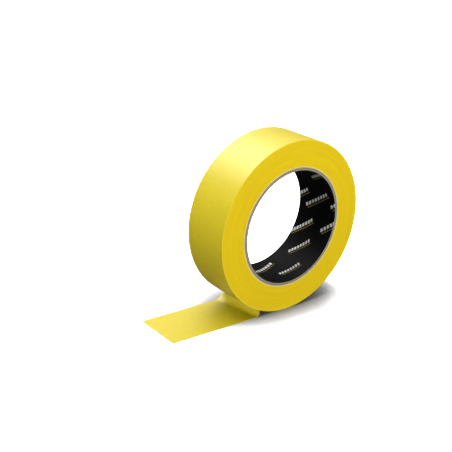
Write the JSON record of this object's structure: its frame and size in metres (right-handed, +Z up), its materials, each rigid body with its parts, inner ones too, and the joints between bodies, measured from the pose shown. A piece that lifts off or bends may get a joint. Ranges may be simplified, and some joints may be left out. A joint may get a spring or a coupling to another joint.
{
  "type": "masking tape roll",
  "caption": "Roll of yellow crepe-paper masking tape on a round paperboard core, standing on its edge with the loose end of the tape laid out flat.",
  "frame": {"origin": "centre of the core's bore, midway between the two sides of the roll", "axes": "+Z up, Y along the bore's axis, the loose end of the tape running out towards -X"},
  "size_m": [0.1498, 0.0344, 0.1165],
  "materials": {
    "core_lining": "satin black printed paper",
    "chipboard": "grey-brown recycled board, cut edge",
    "core_outer": "pale kraft paper",
    "wound_edges": "matte slit edges of wound crepe tape",
    "crepe_backing": "matte creped paper, light yellow",
    "adhesive": "thin tacky rubber adhesive coat, glossy"
  },
  "bodies": {
    "roll": {"core_liner": "core_lining", "core_ply_1": "chipboard", "core_ply_2": "chipboard", "core_ply_3": "chipboard", "core_ply_4": "chipboard", "core_outer_ply": "core_outer", "wound_tape": "wound_edges", "outer_turn_backing": "crepe_backing", "outer_turn_adhesive": "adhesive"},
    "tail_root": {"tail_root_backing": "crepe_backing", "tail_root_adhesive": "adhesive"},
    "tail_tip": {"tail_tip_backing": "crepe_backing", "tail_tip_adhesive": "adhesive"}
  },
  "joints": [
    {"name": "tail_peel", "type": "hinge", "parent": "roll", "child": "tail_root", "pos_m": [-0.02424, 0, -0.05319], "axis": [0, 1, 0], "range_deg": [0, 40]},
    {"name": "tail_curl", "type": "hinge", "parent": "tail_root", "child": "tail_tip", "pos_m": [-0.066, 0, -0.05806], "axis": [0, 1, 0], "range_deg": [0, 45]}
  ]
}
